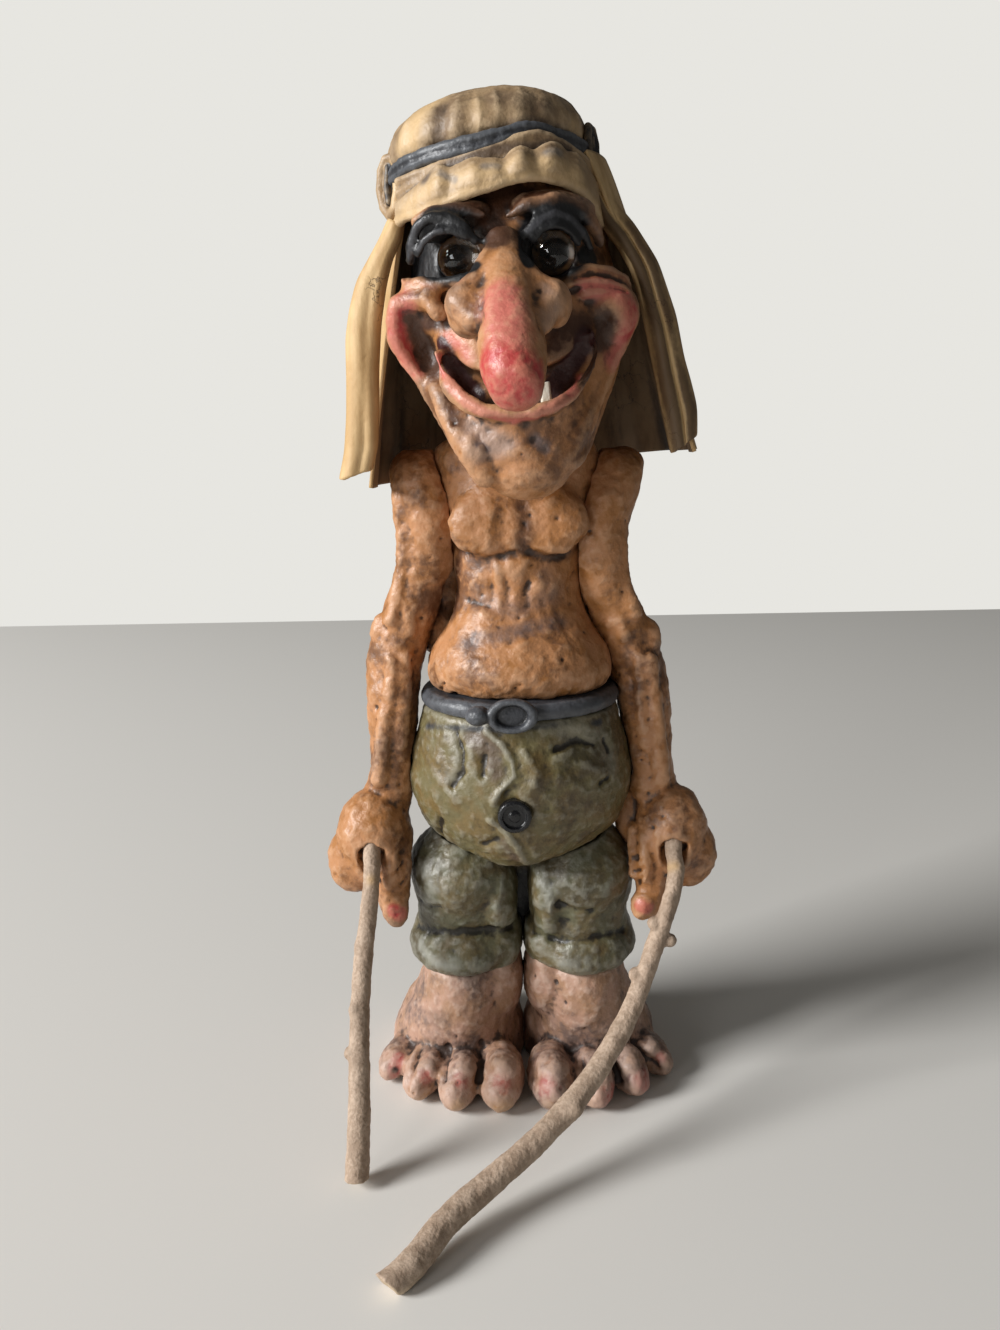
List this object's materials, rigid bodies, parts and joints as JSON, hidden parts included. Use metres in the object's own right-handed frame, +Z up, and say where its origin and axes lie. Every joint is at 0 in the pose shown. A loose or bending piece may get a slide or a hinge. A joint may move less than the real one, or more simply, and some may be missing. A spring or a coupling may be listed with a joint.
{
  "type": "troll figure",
  "caption": "Free-standing folk troll figure with a long nose, grin, gathered cap and hanging kerchief, olive breeches, bare feet and a removable twig staff in each fist.",
  "frame": {"origin": "on the table at the midline, between the insteps where the two feet meet", "axes": "+Z up; the figure faces -Y, so +X is towards its own left hand"},
  "size_m": [0.1242, 0.1389, 0.2941],
  "materials": {
    "skin": "cast and hand painted, ochre with a brown wash",
    "foot_skin": "cast and hand painted, pinkish brown with a grey wash",
    "trouser_paint": "cast and hand painted olive with a pale dry brush",
    "belt_paint": "dark blue-grey paint",
    "black_gloss": "glossy black",
    "eye_glass": "polished",
    "tooth_enamel": "satin white",
    "cap_skin": "stiffened skin with a brown-grey wash",
    "kerchief": "tan skin with fine cracks",
    "twig_bark": "grey-brown bark",
    "dowel_wood": "plain beech"
  },
  "bodies": {
    "figure": {"head": "skin", "torso": "skin", "right_arm": "skin", "left_arm": "skin", "right_foot": "foot_skin", "left_foot": "foot_skin", "trousers": "trouser_paint", "right_leg": "trouser_paint", "left_leg": "trouser_paint", "belt": "belt_paint", "belt_knot": "belt_paint", "cap_band": "belt_paint", "fly_button": "black_gloss", "right_eye_iris": "black_gloss", "left_eye_iris": "black_gloss", "right_eye_glass": "eye_glass", "left_eye_glass": "eye_glass", "tooth": "tooth_enamel", "cap_crown": "cap_skin", "cap_frill": "cap_skin", "right_cap_knot": "cap_skin", "left_cap_knot": "cap_skin", "neck_cloth": "kerchief", "right_lappet": "kerchief", "left_lappet": "kerchief", "neck_dowel": "dowel_wood", "waist_dowel": "dowel_wood", "right_leg_dowel": "dowel_wood", "left_leg_dowel": "dowel_wood", "right_shoulder_dowel": "dowel_wood", "left_shoulder_dowel": "dowel_wood"},
    "right_stick": {"right_stick": "twig_bark"},
    "left_stick": {"left_stick": "twig_bark"}
  },
  "joints": [
    {"name": "right_stick_slide", "type": "slide", "parent": "figure", "child": "right_stick", "axis": [0, -0.5198, -0.8543], "range_m": [0, 0.014]},
    {"name": "left_stick_slide", "type": "slide", "parent": "figure", "child": "left_stick", "axis": [0, -0.5198, -0.8543], "range_m": [0, 0.014]}
  ]
}
